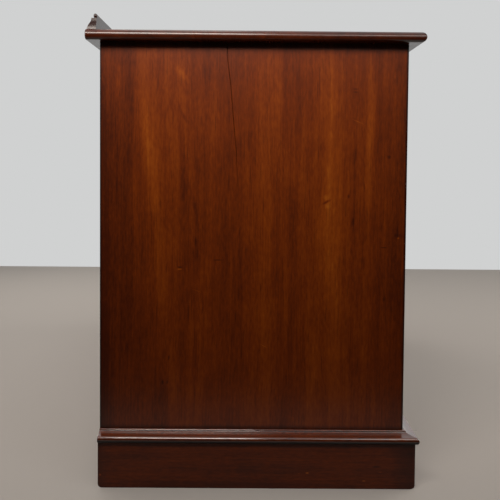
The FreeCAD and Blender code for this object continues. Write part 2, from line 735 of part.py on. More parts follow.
def make_lock(name, x, top):
    """A box lock and its escutcheon. Returns the lock's solids and the recesses that they are let into."""
    gap = dim.fit_gap
    key_z = f"({top}) - {dim.keyhole_drop}"
    plate_front = f"({front_inside} - {dim.lock_plate_thickness})"
    case_front = f"({plate_front} - {dim.lock_case_thickness})"
    selvedge_under = f"(({top}) - {dim.lock_plate_thickness})"
    selvedge_front = f"({front_inside} - {dim.lock_selvedge_depth})"

    def boxes(prefix, grow, past):
        """The lock's three boxes, grown at the sides by a gap and past the front's faces by an overrun."""
        wide = either_side(x, f"{dim.lock_width} / 2 + {grow}")
        case_x = either_side(x, f"{dim.lock_case_width} / 2 + {grow}")
        plate_z = (f"({top}) - {dim.lock_height} - {grow}", f"({top}) + {past}")
        case_z = (f"{selvedge_under} - {dim.lock_case_height} - {grow}", selvedge_under)
        past_back = f"{front_inside} + {past}"
        selvedge_y = (f"{selvedge_front} - {grow}", past_back)
        return [
            board(prefix + "_plate", wide, (plate_front, past_back), plate_z),
            board(prefix + "_selvedge", wide, selvedge_y, (selvedge_under, plate_z[1])),
            board(prefix + "_case", case_x, (f"{case_front} - {grow}", plate_front), case_z),
        ]

    bolt_x = either_side(x, f"{dim.lock_bolt_width} / 2")
    bolt_z = (f"({top}) - {dim.lock_bolt_throw}", top)
    bolt = board(name + "_bolt", bolt_x, (bolt_front, bolt_back), bolt_z)
    bolt_way = board(
        name + "_bolt_way",
        either_side(x, f"{dim.lock_bolt_width} / 2 + {gap}"),
        (f"{bolt_front} - {gap}", f"{bolt_back} + {gap}"),
        (bolt_z[0], f"({top}) + {dim.overrun}"),
    )
    let_in = f"({front} + {dim.escutcheon_depth})"
    key_way = keyhole(name + "_key_way", x, key_z, "0", (f"{front} - {dim.overrun}", plate_front))
    pin = rod(name + "_pin", x, (let_in, plate_front), key_z, dim.lock_pin_diameter)
    body = joined(name + "_body", boxes(name, "0", "0"))
    hollowed = cut(name + "_hollowed", body, [bolt_way, key_way])
    lock = joined(name + "_cased", [hollowed, pin])
    outside = keyhole(name + "_escutcheon_blank", x, key_z, dim.escutcheon_border, (front, let_in))
    escutcheon = cut(name + "_escutcheon", outside, [key_way])
    recess = keyhole(
        name + "_escutcheon_recess",
        x,
        key_z,
        f"{dim.escutcheon_border} + {gap}",
        (f"{front} - {dim.overrun}", let_in),
    )
    mortise = boxes(name + "_mortise", gap, dim.overrun)
    return [lock, bolt, escutcheon], mortise + [key_way, recess]


def make_tails(name, x, z, count):
    """The tails of a half-blind dovetail: wide at their tips, inside the drawer front."""
    pitch = f"((({z[1]}) - ({z[0]})) / {count})"
    wide = f"(({pitch} - {dim.dovetail_pin_width}) / 2)"
    narrow = f"({wide} - {DOVETAIL_SLOPE_SHARE} * ({front_inside} - {socket_end}))"
    tails = []
    for number in range(count):
        centre = f"({z[0]}) + ({number} + 1 / 2) * {pitch}"
        tails.append(
            taper(
                f"{name}_{number + 1}",
                (socket_end, front_inside),
                x,
                either_side(centre, wide),
                x,
                either_side(centre, narrow),
            )
        )
    return tails


def make_pins(name, x, z, count):
    """The pins of a drawer back: narrow where they show at the rear, wide inside."""
    pitch = f"((({z[1]}) - ({z[0]})) / {count})"
    narrow = f"({dim.dovetail_pin_width} / 2)"
    wide = f"({narrow} + {DOVETAIL_SLOPE_SHARE} * {dim.drawer_back_thickness})"
    pins = []
    for number in range(count):
        centre = f"({z[0]}) + ({number} + 1 / 2) * {pitch}"
        pins.append(
            taper(
                f"{name}_{number + 1}",
                (back_inside, drawer_rear),
                x,
                either_side(centre, wide),
                x,
                either_side(centre, narrow),
            )
        )
    return pins


def make_drawer(name, opening, floor, ceiling, dovetails, knob_places):
    """One drawer in its opening: the front with its bead, the box behind it, the knobs and the lock."""
    x = (f"({opening[0]}) + {dim.drawer_gap}", f"({opening[1]}) - {dim.drawer_gap}")
    front_z = (f"{floor} + {dim.drawer_gap}", f"{ceiling} - {dim.drawer_gap}")
    side_z = (f"{floor} + {dim.runner_gap}", f"{front_z[1]} - {dim.drawer_side_drop}")
    bottom_low = f"({side_z[0]} + {dim.drawer_bottom_rise})"
    bottom_high = f"({bottom_low} + {dim.drawer_bottom_thickness})"
    side_x = {
        "left": (x[0], f"{x[0]} + {dim.drawer_side_thickness}"),
        "right": (f"{x[1]} - {dim.drawer_side_thickness}", x[1]),
    }
    inside_x = (side_x["left"][1], side_x["right"][0])
    grooved_x = (f"{inside_x[0]} - {dim.groove_depth}", f"{inside_x[1]} + {dim.groove_depth}")
    groove = board(
        name + "_groove",
        grooved_x,
        (f"{front_inside} - {dim.groove_depth}", f"{drawer_rear} + {dim.overrun}"),
        (bottom_low, f"{bottom_high} + {dim.groove_gap}"),
    )
    bottom = board(
        name + "_bottom",
        (f"{grooved_x[0]} + {dim.groove_gap}", f"{grooved_x[1]} - {dim.groove_gap}"),
        (f"{front_inside} - {dim.groove_depth} + {dim.groove_gap}", drawer_rear),
        (bottom_low, bottom_high),
    )
    back_z = (bottom_high, f"{side_z[1]} - {dim.drawer_back_drop}")
    tail_z = (front_z[0], side_z[1])
    sides = []
    all_tails = []
    all_pins = []
    for hand, span in side_x.items():
        tails = make_tails(f"{name}_{hand}_tail", span, tail_z, dovetails)
        pins = make_pins(f"{name}_{hand}_pin", span, back_z, dovetails)
        blank = board(f"{name}_{hand}_side_blank", span, (front_inside, drawer_rear), side_z)
        tailed = joined(f"{name}_{hand}_side_tailed", [blank] + tails)
        sides.append(cut(f"{name}_{hand}_side", tailed, pins + [groove]))
        all_tails += tails
        all_pins += pins
    back_blank = board(name + "_back_blank", inside_x, (back_inside, drawer_rear), back_z)
    back_board = joined(name + "_back", [back_blank] + all_pins)
    subpart(name + "_box", group(name + "_box_set", sides + [back_board, bottom]))

    middle = mid(*x)
    lock, recesses = make_lock(name + "_lock_work", middle, front_z[1])
    subpart(name + "_lock", group(name + "_lock_set", lock))
    strips = make_bead(name + "_bead", x, front_z)
    knob_z = mid(*front_z)
    knobs = []
    holes = []
    for number, place in enumerate(knob_places, start=1):
        knobs.append(make_knob(f"{name}_turned_knob_{number}", place, knob_z))
        through = (f"{front} - {dim.overrun}", f"{front_inside} + {dim.overrun}")
        hole_width = f"{dim.knob_spigot_diameter} + 2 * {dim.fit_gap}"
        holes.append(rod(f"{name}_knob_hole_{number}", place, through, knob_z, hole_width))
    subpart(name + "_knobs" if len(knobs) > 1 else name + "_knob", group(name + "_knob_set", knobs))
    blank = board(name + "_front_blank", x, (front, front_inside), front_z)
    tools = all_tails + [groove] + strips + recesses + holes
    front_board = cut(name + "_front_board", blank, tools)
    subpart(name + "_front", group(name + "_front_set", [front_board] + strips))


drawers = []
for side, x in pedestal_opening.items():
    for row in ("frieze", "upper", "middle", "lower"):
        drawers.append((f"{side}_{row}_drawer", x, row, [mid(*x)]))
kneehole_width = f"2 * {kneehole_half}"
centre_knob_reach = f"{CENTRE_KNOB_SHARE} * {kneehole_width}"
centre_places = [f"-{centre_knob_reach}", centre_knob_reach]
drawers.append(("centre_drawer", kneehole_opening, "frieze", centre_places))
stops = []
for name, x, row, knob_places in drawers:
    dovetail_count = SHALLOW_DOVETAIL_COUNT if row in ("frieze", "upper") else DEEP_DOVETAIL_COUNT
    make_drawer(name, x, floor_of[row], ceiling_of[row], dovetail_count, knob_places)
    stop_front = f"({front_inside} + {dim.stop_gap})"
    stop_y = (stop_front, f"{stop_front} + {dim.stop_depth}")
    stop_z = (floor_of[row], f"{floor_of[row]} + {dim.stop_height}")
    low = (f"({x[0]}) + {dim.stop_inset}", f"({x[0]}) + {dim.stop_inset} + {dim.stop_length}")
    high = (f"({x[1]}) - {dim.stop_inset} - {dim.stop_length}", f"({x[1]}) - {dim.stop_inset}")
    stops.append(board(name + "_stop_low", low, stop_y, stop_z))
    stops.append(board(name + "_stop_high", high, stop_y, stop_z))
subpart("drawer_stops", group("drawer_stop_set", stops))

doc.recompute()
for piece in doc.Objects:
    if "Invalid" in piece.State or "Error" in piece.State:
        raise RuntimeError(f"{piece.Name} failed to recompute: {piece.State}")
for name, piece in subparts.items():
    if piece.Shape.isNull() or not piece.Shape.isValid() or not piece.Shape.Solids:
        raise RuntimeError(f"{name} has no valid solid")

os.makedirs("parts", exist_ok=True)
for name, piece in subparts.items():
    piece.Shape.exportStep(f"parts/{piece.Label}.step")
print(f"{len(subparts)} sub-parts, {sum(len(piece.Shape.Solids) for piece in subparts.values())} solids")
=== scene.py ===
import json
import math

import bmesh
import bpy
from mathutils import Matrix, Vector

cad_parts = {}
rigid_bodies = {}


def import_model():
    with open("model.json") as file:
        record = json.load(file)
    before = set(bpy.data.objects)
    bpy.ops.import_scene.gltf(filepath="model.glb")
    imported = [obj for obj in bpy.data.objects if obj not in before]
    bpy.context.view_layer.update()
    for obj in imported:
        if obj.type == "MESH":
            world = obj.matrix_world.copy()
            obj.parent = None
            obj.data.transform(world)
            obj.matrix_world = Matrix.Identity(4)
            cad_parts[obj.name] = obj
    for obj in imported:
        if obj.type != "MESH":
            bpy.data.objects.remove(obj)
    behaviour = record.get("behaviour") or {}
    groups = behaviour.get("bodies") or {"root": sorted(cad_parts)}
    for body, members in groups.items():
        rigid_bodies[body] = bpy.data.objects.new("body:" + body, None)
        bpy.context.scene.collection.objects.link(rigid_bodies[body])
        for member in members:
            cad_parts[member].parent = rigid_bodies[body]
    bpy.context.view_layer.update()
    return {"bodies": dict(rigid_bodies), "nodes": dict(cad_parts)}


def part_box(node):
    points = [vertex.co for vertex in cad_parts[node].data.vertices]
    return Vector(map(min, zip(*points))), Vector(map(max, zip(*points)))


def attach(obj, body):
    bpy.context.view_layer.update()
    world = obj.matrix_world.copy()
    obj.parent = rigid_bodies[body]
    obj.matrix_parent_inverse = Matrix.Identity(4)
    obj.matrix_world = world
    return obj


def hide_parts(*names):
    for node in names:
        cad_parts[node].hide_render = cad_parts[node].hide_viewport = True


# A polished mahogany kneehole desk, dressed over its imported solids. Lengths are in metres, or in
# millimetres where a name ends in mm. X runs along the desk, -Y is the front and Z is up.
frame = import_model()
MM = 0.001


# End panels: one wide solid board at each end of the desk, from the floor to the top, with the grain
# upright. They are planed, stained and French polished, and their long arrises are eased by hand.
# The left one has a shrinkage crack that runs down from the top, and old knocks and scratches.

END_ARRIS_MM = 0.9
ARRIS_STEPS = 3
WELD_MM = 0.004
NEAR_MM = 1
SHARP_ANGLE = math.radians(24)
SMOOTH_ANGLE = math.radians(40)
FLAT_ANGLE = math.radians(0.4)
STRAIGHT_SHARE = 0.99
GRAIN_TURNS = {"X": (0, -math.pi / 2, 0), "Y": (math.pi / 2, 0, 0), "Z": (0, 0, 0)}
# A film of polish has an index and a least roughness, and a coat on it a weight and a roughness
FRESH_FILM = (1.42, 0.15)
HAZE = (0.28, 0.35)
MAHOGANY_TONES = [
    (0.00, "#240B04"),
    (0.30, "#4A1B06"),
    (0.50, "#692A06"),
    (0.68, "#813A09"),
    (1.00, "#A65D18"),
]
MEAN_TONE = 0.49
# The grain's layers: ribbons, streaks, a soft mottle, fibres and flecks. Each has the width and the length
# of its marks, how finely they are drawn and the layer's share. The last two are drawn about 3 mm wide so
# that they show. Other marks are given in the same way, without a share.
GRAIN_LAYERS_MM = [
    (60, 900, 1.5, 0.34),
    (13, 380, 3.0, 0.36),
    (30, 55, 2.0, 0.20),
    (3.0, 150, 2.0, 0.18),
    (3.2, 11, 1.0, 0.26),
]
FIBRE_LAYER = 3
STREAK_ROUGHNESS = 0.55
DRIFT_MM = 26
DRIFT_WAVE_MM = (210, 620, 1.0)
# Pores are finer than a tenth of a millimetre, and are drawn as dashes 1.8 mm wide
PORE_MM = (1.8, 45, 1.0)
PORE_RANGE = {"From Min": 0.60, "From Max": 0.74}
PORE_BROWN = "#1C0904"
PORE_SHARE = 0.36
PORE_DULLNESS = 0.05
PORE_DEPTH_MM = 0.15
SMEAR_MM = (150, 240, 3.0)
SMEAR_RANGE = {"From Min": 0.3, "From Max": 0.7}
SMEAR_DULLNESS = 0.08


def linear(hex_colour):
    """An sRGB hex colour as linear red, green, blue and alpha."""
    channels = [int(hex_colour[start:start + 2], 16) / 255 for start in (1, 3, 5)]
    return [c / 12.92 if c <= 0.04045 else ((c + 0.055) / 1.055) ** 2.4 for c in channels] + [1]


def feed(owner, node, links):
    """Gives inputs of a node, by name, a value or the socket that feeds them."""
    for name, source in links.items():
        if isinstance(source, bpy.types.NodeSocket):
            owner.node_tree.links.new(source, node.inputs[name])
        else:
            node.inputs[name].default_value = source


def add(owner, kind, links=None, stops=(), **settings):
    """Adds a node with its settings, its links and, on a ramp, the places and colours of its stops."""
    node = owner.node_tree.nodes.new("ShaderNode" + kind)
    for setting, value in settings.items():
        setattr(node, setting, value)
    feed(owner, node, links or {})
    if stops:
        elements = node.color_ramp.elements
        for element, (place, colour) in zip((elements[0], elements[-1]), (stops[0], stops[-1])):
            element.position = place
            element.color = linear(colour)
        for place, colour in stops[1:-1]:
            elements.new(place).color = linear(colour)
    return node


def new_finish(name):
    """A new material, and its shader."""
    material = bpy.data.materials.new(name)
    material.use_nodes = True
    return material, material.node_tree.nodes["Principled BSDF"]


def streaks(owner, board, width_mm, length_mm, detail):
    """Soft streaks of this width across the grain and this length along it, from 0 to 1."""
    size = (1 / (width_mm * MM), 1 / (width_mm * MM), 1 / (length_mm * MM))
    stretched = add(owner, "Mapping", {"Vector": board, "Scale": size})
    fineness = {"Scale": 1.0, "Detail": detail, "Roughness": STREAK_ROUGHNESS}
    drawn = add(owner, "TexNoise", {"Vector": stretched.outputs[0], **fineness})
    return drawn.outputs[0]


def board_lines(owner, grain_axis, shift_mm):
    """Object coordinates turned so that Z runs along the grain, moved to a stretch of wood of their own."""
    place = add(owner, "TexCoord").outputs["Object"]
    shift = [number * MM for number in shift_mm]
    stretch = {"Location": shift, "Rotation": GRAIN_TURNS[grain_axis]}
    return add(owner, "Mapping", {"Vector": place, **stretch}).outputs[0]


def polished_mahogany(
    name, grain_axis, shift_mm, tone_shift=0.0, coat=HAZE, film=FRESH_FILM, figure_and_shade=None, open_grain=0.12
):
    """French polished mahogany: red-brown ribbons and dark streaks that wander along the board, open pores
    drawn as short dark dashes, and a thin hard film. The coat is what lies on the film: a haze of old wax,
    or a rubbed-up gloss on mouldings. Open grain is how far the pores show through the film as relief."""
    material, shader = new_finish(name)
    board = board_lines(material, grain_axis, shift_mm)

    # the grain drifts sideways by a centimetre or two over the length of a board
    drift = streaks(material, board, *DRIFT_WAVE_MM)
    sideways = add(material, "Math", {0: drift, 1: -0.5}, operation="ADD").outputs[0]
    moved = add(material, "VectorMath", {0: (1, 1, 0), "Scale": sideways}, operation="SCALE").outputs[0]
    reach = add(material, "VectorMath", {0: moved, "Scale": DRIFT_MM * MM}, operation="SCALE").outputs[0]
    lines = add(material, "VectorMath", {0: board, 1: reach}, operation="ADD").outputs[0]

    # each layer is as strong as its share, and together they keep the wood's mean tone
    layers = [(streaks(material, lines, *marks_mm), share) for *marks_mm, share in GRAIN_LAYERS_MM]
    fibre = layers[FIBRE_LAYER][0]
    tone = tone_shift + MEAN_TONE - sum(share for layer, share in layers) / 2
    for layer, share in layers:
        tone = add(material, "Math", {0: layer, 1: share, 2: tone}, operation="MULTIPLY_ADD").outputs[0]
    # the figure's shades are added to the tone, and on the left end they hold painted shade as well
    if figure_and_shade:
        shade = figure_and_shade(material)
        tone = add(material, "Math", {0: tone, 1: shade}, operation="ADD").outputs[0]
    colour = add(material, "ValToRGB", {"Fac": tone}, stops=MAHOGANY_TONES).outputs["Color"]
    pore = streaks(material, lines, *PORE_MM)
    dash = add(material, "MapRange", {"Value": pore, **PORE_RANGE}).outputs[0]
    darker = add(material, "Math", {0: dash, 1: PORE_SHARE}, operation="MULTIPLY").outputs[0]
    pored = add(
        material, "MixRGB", {"Fac": darker, "Color1": colour, "Color2": linear(PORE_BROWN)}
    ).outputs[0]

    # the film is duller over open pores and where hands and wax have left it uneven
    index, least = film
    smear = streaks(material, board, *SMEAR_MM)
    dull_range = {"To Min": least, "To Max": least + SMEAR_DULLNESS}
    worn = add(material, "MapRange", {"Value": smear, **SMEAR_RANGE, **dull_range}).outputs[0]
    rough = add(
        material, "Math", {0: dash, 1: PORE_DULLNESS, 2: worn}, operation="MULTIPLY_ADD"
    ).outputs[0]
    sunk = add(material, "Math", {0: dash, 1: -1.0, 2: fibre}, operation="MULTIPLY_ADD").outputs[0]
    relief = add(
        material, "Bump", {"Height": sunk, "Strength": open_grain, "Distance": PORE_DEPTH_MM * MM}
    ).outputs[0]
    feed(material, shader, {"Base Color": pored, "Roughness": rough, "Normal": relief, "IOR": index})
    weight, dullness = coat
    feed(material, shader, {"Coat Weight": weight, "Coat Roughness": dullness})
    return material


def welded_copy(node):
    """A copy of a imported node's triangles, joined along their edges."""
    shape = bmesh.new()
    shape.from_mesh(frame["nodes"][node].data)
    bmesh.ops.remove_doubles(shape, verts=shape.verts, dist=WELD_MM * MM)
    return shape


def make_flats_whole(shape):
    """Joins the triangles of each flat into one face."""
    bmesh.ops.dissolve_limit(shape, angle_limit=FLAT_ANGLE, verts=shape.verts, edges=shape.edges)


def joined_mesh(node):
    """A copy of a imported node, joined along its edges and with its flats made whole."""
    shape = welded_copy(node)
    make_flats_whole(shape)
    return shape


def ease(shape, arris_mm, chosen):
    """Rounds the sharp outer arrises that the chosen test picks."""
    arrises = [
        edge
        for edge in shape.edges
        if edge.is_manifold and edge.is_convex and edge.calc_face_angle() > SHARP_ANGLE and chosen(edge)
    ]
    bmesh.ops.bevel(
        shape,
        geom=arrises,
        offset=arris_mm * MM,
        offset_type="OFFSET",
        affect="EDGES",
        segments=ARRIS_STEPS,
        profile=0.5,
        clamp_overlap=True,
        material=-1,
    )


def finished_piece(name, shape, material, node, body="carcase"):
    """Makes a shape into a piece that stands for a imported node, rides on its body and has its finish."""
    mesh = bpy.data.meshes.new(name)
    shape.to_mesh(mesh)
    shape.free()
    mesh.shade_smooth()
    mesh.set_sharp_from_angle(angle=SMOOTH_ANGLE)
    mesh.materials.append(material)
    piece = bpy.data.objects.new(name, mesh)
    bpy.context.scene.collection.objects.link(piece)
    even = piece.modifiers.new("even_flats", "WEIGHTED_NORMAL")
    even.keep_sharp = True
    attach(piece, body)
    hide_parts(node)
    return piece


def upright_near(axis, plane):
    """A test for edges that run straight up and lie close to a plane across an axis."""

    def chosen(edge):
        along = edge.verts[1].co - edge.verts[0].co
        straight = abs(along.z) > STRAIGHT_SHARE * along.length
        return straight and abs(getattr(edge.verts[0].co, axis) - plane) < NEAR_MM * MM

    return chosen


left_low, left_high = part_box("left_end_panel")
end_face = left_low.x


# The left panel's own figure, with painted shade: long ribbons and dark edges, a band of painted shade
# along its foot where it meets the moulding, a painted shadow under the overhang of the top, the flame near
# its top, a knot and pin knots. Each is a place across the panel and up it, a half width and a half length,
# how far it leans back on its way up, and how much lighter or darker it is.
END_FIGURE_AND_SHADE_MM = [
    (262, 400, 60, 900, 0.00, -0.13),
    (240, 150, 120, 270, 0.00, -0.10),
    (218, 400, 50, 900, 0.04, -0.06),
    (212, 320, 36, 130, 0.00, -0.05),
    (236, 692, 30, 60, 0.00, 0.11),
    (130, 620, 130, 150, 0.00, 0.05),
    (-28, 400, 40, 160, 0.00, -0.07),
    (-188, 540, 36, 250, 0.00, 0.07),
    (180, 575, 17, 190, 0.08, 0.16),
    (158, 380, 26, 520, 0.07, 0.10),
    (121, 500, 9, 330, 0.08, -0.08),
    (-66, 400, 14, 600, 0.00, -0.07),
    (-128, 480, 34, 420, 0.00, 0.14),
    (-164, 520, 6, 210, 0.02, -0.12),
    (-189, 600, 9, 190, 0.01, 0.15),
    (-252, 400, 44, 900, 0.00, -0.08),
    # painted shade where the panel's foot meets the moulding
    (0, 92, 900, 12, 0.00, -0.40),
    # painted shadow on the panel under the overhang of the top
    (-40, 745, 300, 34, 0.00, -0.08),
    (125, 694, 7, 24, 0.68, 0.16),
    (123, 626, 4, 34, 0.54, -0.10),
    (152, 628, 4, 22, -0.25, -0.07),
    (107, 470, 5, 60, 0.21, -0.12),
    (-118, 489, 8, 7, 0.00, 0.14),
    (-120, 481, 3.5, 13, -2.20, -0.34),
    (-123, 473, 8, 6, 0.00, 0.14),
    (-154, 491, 5, 6, 0.00, -0.20),
    (-164, 448, 4, 11, 0.00, -0.20),
    (-181, 381, 6, 14, 0.00, -0.12),
    (-220, 557, 4, 5, 0.00, -0.26),
    (-221, 317, 4, 7, 0.00, -0.18),
    (-239, 426, 6, 5, 0.00, -0.20),
    (103, 412, 3, 12, 0.10, -0.20),
    (155, 174, 2, 6, 0.00, -0.34),
    (148, 174, 2, 5, 0.00, -0.24),
    (147, 216, 2, 6, 0.00, -0.28),
]
# Old knocks and scratches in the polish, and a painted line of shade down both edges, in the same form.
# Figure goes right through a board, and these are only skin deep.
END_SCARS_AND_SHADE_MM = [
    # painted shade on the eased arrises down both edges
    (-252, 400, 5, 3000, 0.00, -0.50),
    (262, 400, 4, 3000, 0.00, -0.40),
    (-168, 616, 1.0, 15, 2.50, 0.24),
    (-164, 670, 6, 1.3, 0.00, -0.30),
    (-164, 665, 6, 1.3, 0.00, -0.30),
    (-239, 421, 3, 2, 0.00, 0.34),
    (-215, 405, 9, 1.6, 0.00, -0.24),
    (128, 369.5, 6, 1.6, 0.00, -0.30),
    (128, 366, 6, 1.6, 0.00, 0.42),
    (64, 382, 11, 1.7, 0.00, -0.28),
    (99, 330, 1.0, 12, 2.75, 0.18),
    (-14, 237, 1.0, 10, 2.00, 0.26),
]
THROUGH_MM = 1000
SKIN_MM = 4
WAVER_MM = 12
WAVER_LENGTH_MM = (70, 160, 2.0)


def figure_and_shade_marks(owner, face=end_face, figure_and_shade_mm=END_FIGURE_AND_SHADE_MM, scars_and_shade_mm=END_SCARS_AND_SHADE_MM):
    """How much lighter or darker figure, scars and painted shade make a face across X, as soft-edged
    ellipses.
    """
    place = add(owner, "TexCoord").outputs["Object"]
    waver = streaks(owner, place, *WAVER_LENGTH_MM)
    waver_range = {"To Min": -WAVER_MM * MM, "To Max": WAVER_MM * MM}
    uneven = add(owner, "MapRange", {"Value": waver, **waver_range}).outputs[0]
    offset = add(owner, "CombineXYZ", {"Y": uneven}).outputs[0]
    wavy = add(owner, "VectorMath", {0: place, 1: offset}, operation="ADD").outputs[0]
    total = 0.0
    for lines, marks_mm, depth_mm in ((wavy, figure_and_shade_mm, THROUGH_MM), (place, scars_and_shade_mm, SKIN_MM)):
        for across_mm, height_mm, half_width_mm, half_length_mm, lean, change in marks_mm:
            own = add(
                owner,
                "Mapping",
                {
                    "Vector": lines,
                    "Location": (face, across_mm * MM, height_mm * MM),
                    "Rotation": (-math.atan(lean), 0, 0),
                    "Scale": (depth_mm * MM, half_width_mm * MM, half_length_mm * MM),
                },
                vector_type="TEXTURE",
            ).outputs[0]
            away = add(owner, "VectorMath", {0: own}, operation="LENGTH").outputs["Value"]
            part = add(
                owner,
                "MapRange",
                {"Value": away, "From Min": 0.0, "From Max": 1.0, "To Min": change, "To Max": 0.0},
                interpolation_type="SMOOTHSTEP",
            ).outputs[0]
            total = add(owner, "Math", {0: part, 1: total}, operation="ADD").outputs[0]
    return total


def cut_crack(shape):
    """Splits the left panel's face down from the top: a wedge-shaped cut that narrows to nothing. It starts
    as a triangle above the top and is drawn down along the crack, getting narrower and shallower."""
    # place across the panel, height, width and depth at points down the crack
    route_mm = [
        (50.6, 750, 1.5, 9),
        (49.3, 714, 1.5, 9),
        (44.4, 676, 1.6, 8),
        (38.9, 614, 1.6, 7),
        (34.7, 568, 1.3, 6),
        (31.2, 505, 0.9, 4),
        (30.2, 478, 0.1, 1),
    ]
    proud_mm = 0.2
    outer = end_face - proud_mm * MM
    wedge = bmesh.new()
    loops = []
    for across_mm, height_mm, width_mm, depth_mm in route_mm:
        corners = [
            (outer, (across_mm - width_mm / 2) * MM, height_mm * MM),
            (outer, (across_mm + width_mm / 2) * MM, height_mm * MM),
            (end_face + depth_mm * MM, across_mm * MM, height_mm * MM),
        ]
        points = [wedge.verts.new(corner) for corner in corners]
        section = bmesh.ops.contextual_create(wedge, geom=points)
        loops.append(section["faces"][0])
    for upper, lower in zip(loops[:-1], loops[1:]):
        bmesh.ops.bridge_loops(wedge, edges=upper.edges[:] + lower.edges[:])
    bmesh.ops.delete(wedge, geom=loops[1:-1], context="FACES_ONLY")
    bmesh.ops.recalc_face_normals(wedge, faces=wedge.faces)
    wedge_mesh = bpy.data.meshes.new("crack_wedge")
    wedge.to_mesh(wedge_mesh)
    wedge.free()
    cutter = bpy.data.objects.new("crack_wedge", wedge_mesh)
    bpy.context.scene.collection.objects.link(cutter)
    whole_mesh = bpy.data.meshes.new("uncracked_panel")
    shape.to_mesh(whole_mesh)
    whole = bpy.data.objects.new("uncracked_panel", whole_mesh)
    bpy.context.scene.collection.objects.link(whole)
    split = whole.modifiers.new("crack", "BOOLEAN")
    split.operation = "DIFFERENCE"
    split.solver = "EXACT"
    split.object = cutter
    seen = whole.evaluated_get(bpy.context.evaluated_depsgraph_get())
    shape.clear()
    shape.from_mesh(seen.to_mesh())
    seen.to_mesh_clear()
    bpy.data.objects.remove(whole)
    bpy.data.objects.remove(cutter)


left_end = joined_mesh("left_end_panel")
ease(left_end, END_ARRIS_MM, upright_near("x", end_face))
cut_crack(left_end)
END_FINISH = {"coat": (0.65, 0.30), "film": (1.20, 0.15)}
left_end_mahogany = polished_mahogany("left_end_mahogany", "Z", (0, 0, 0), figure_and_shade=figure_and_shade_marks, **END_FINISH)
finished_piece("left_end_board", left_end, left_end_mahogany, "left_end_panel")

right_end = joined_mesh("right_end_panel")
right_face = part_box("right_end_panel")[1].x
ease(right_end, END_ARRIS_MM, upright_near("x", right_face))
# The right panel's figure is a plain run of ribbons, in the same form
RIGHT_FIGURE_MM = [
    (225, 400, 50, 900, 0.02, -0.12),
    (128, 430, 22, 560, -0.05, 0.12),
    (66, 380, 12, 480, 0.04, -0.10),
    (-20, 520, 24, 380, 0.05, 0.10),
    (-92, 300, 14, 460, -0.03, -0.10),
    (-150, 420, 26, 520, 0.03, 0.12),
    (-238, 400, 46, 900, 0.00, -0.10),
]


def right_figure(owner):
    """The shades of the right panel."""
    return figure_and_shade_marks(owner, right_face, RIGHT_FIGURE_MM, [])


right_end_mahogany = polished_mahogany(
    "right_end_mahogany", "Z", (310, 470, 200), figure_and_shade=right_figure, **END_FINISH
)
finished_piece("right_end_board", right_end, right_end_mahogany, "right_end_panel")


# Kneehole panels and the panel at the back of the kneehole: the same boards as the end panels, upright,
# mortised for the rails and the runners, and polished where the sitter sees them.


def dress(material, *nodes):
    """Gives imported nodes, whose shapes are right, a finish."""
    for node in nodes:
        slots = frame["nodes"][node].data.materials
        slots.clear()
        slots.append(material)


kneehole_mahogany = polished_mahogany("kneehole_mahogany", "Z", (120, -260, 640), tone_shift=-0.05)
dress(kneehole_mahogany, "left_kneehole_panel", "right_kneehole_panel", "kneehole_back_panel")


# Rails: mahogany strips along the desk, let into mortises in the panels and flush with their front edges,
# and two rails under the top that the top is screwed to.

rail_mahogany = polished_mahogany("rail_mahogany", "X", (90, 40, 330), tone_shift=-0.02)
dress(rail_mahogany, "left_drawer_rails", "right_drawer_rails", "kneehole_rail", "top_rails")


# Runners, kickers, stops and bottom boards: plain planed oak, unpolished, straw brown and open grained,
# let into the panels and rails, where only an open drawer shows them.

OAK_TONES = [(0.0, "#634026"), (0.4, "#93653D"), (0.65, "#AF8051"), (1.0, "#C89E71")]
OAK_BAND_MM = (22, 500, 2.0)
OAK_FIBRE_MM = (3.0, 90, 2.0)
OAK_BAND_SHARE = 0.9
OAK_FIBRE_SHARE = 0.75
OAK_TONE = -0.35
# The long open pores are drawn 1.5 mm wide so that they show
OAK_PORE_MM = (1.5, 24, 1.0)
OAK_PORE_RANGE = {"From Min": 0.58, "From Max": 0.70}
OAK_PORE_BROWN = "#4A3218"
OAK_PORE_SHARE = 0.5
OAK_RELIEF = 0.4
OAK_RELIEF_MM = 0.2
OAK_DULLNESS = {"From Min": 0.3, "From Max": 0.7, "To Min": 0.55, "To Max": 0.7}


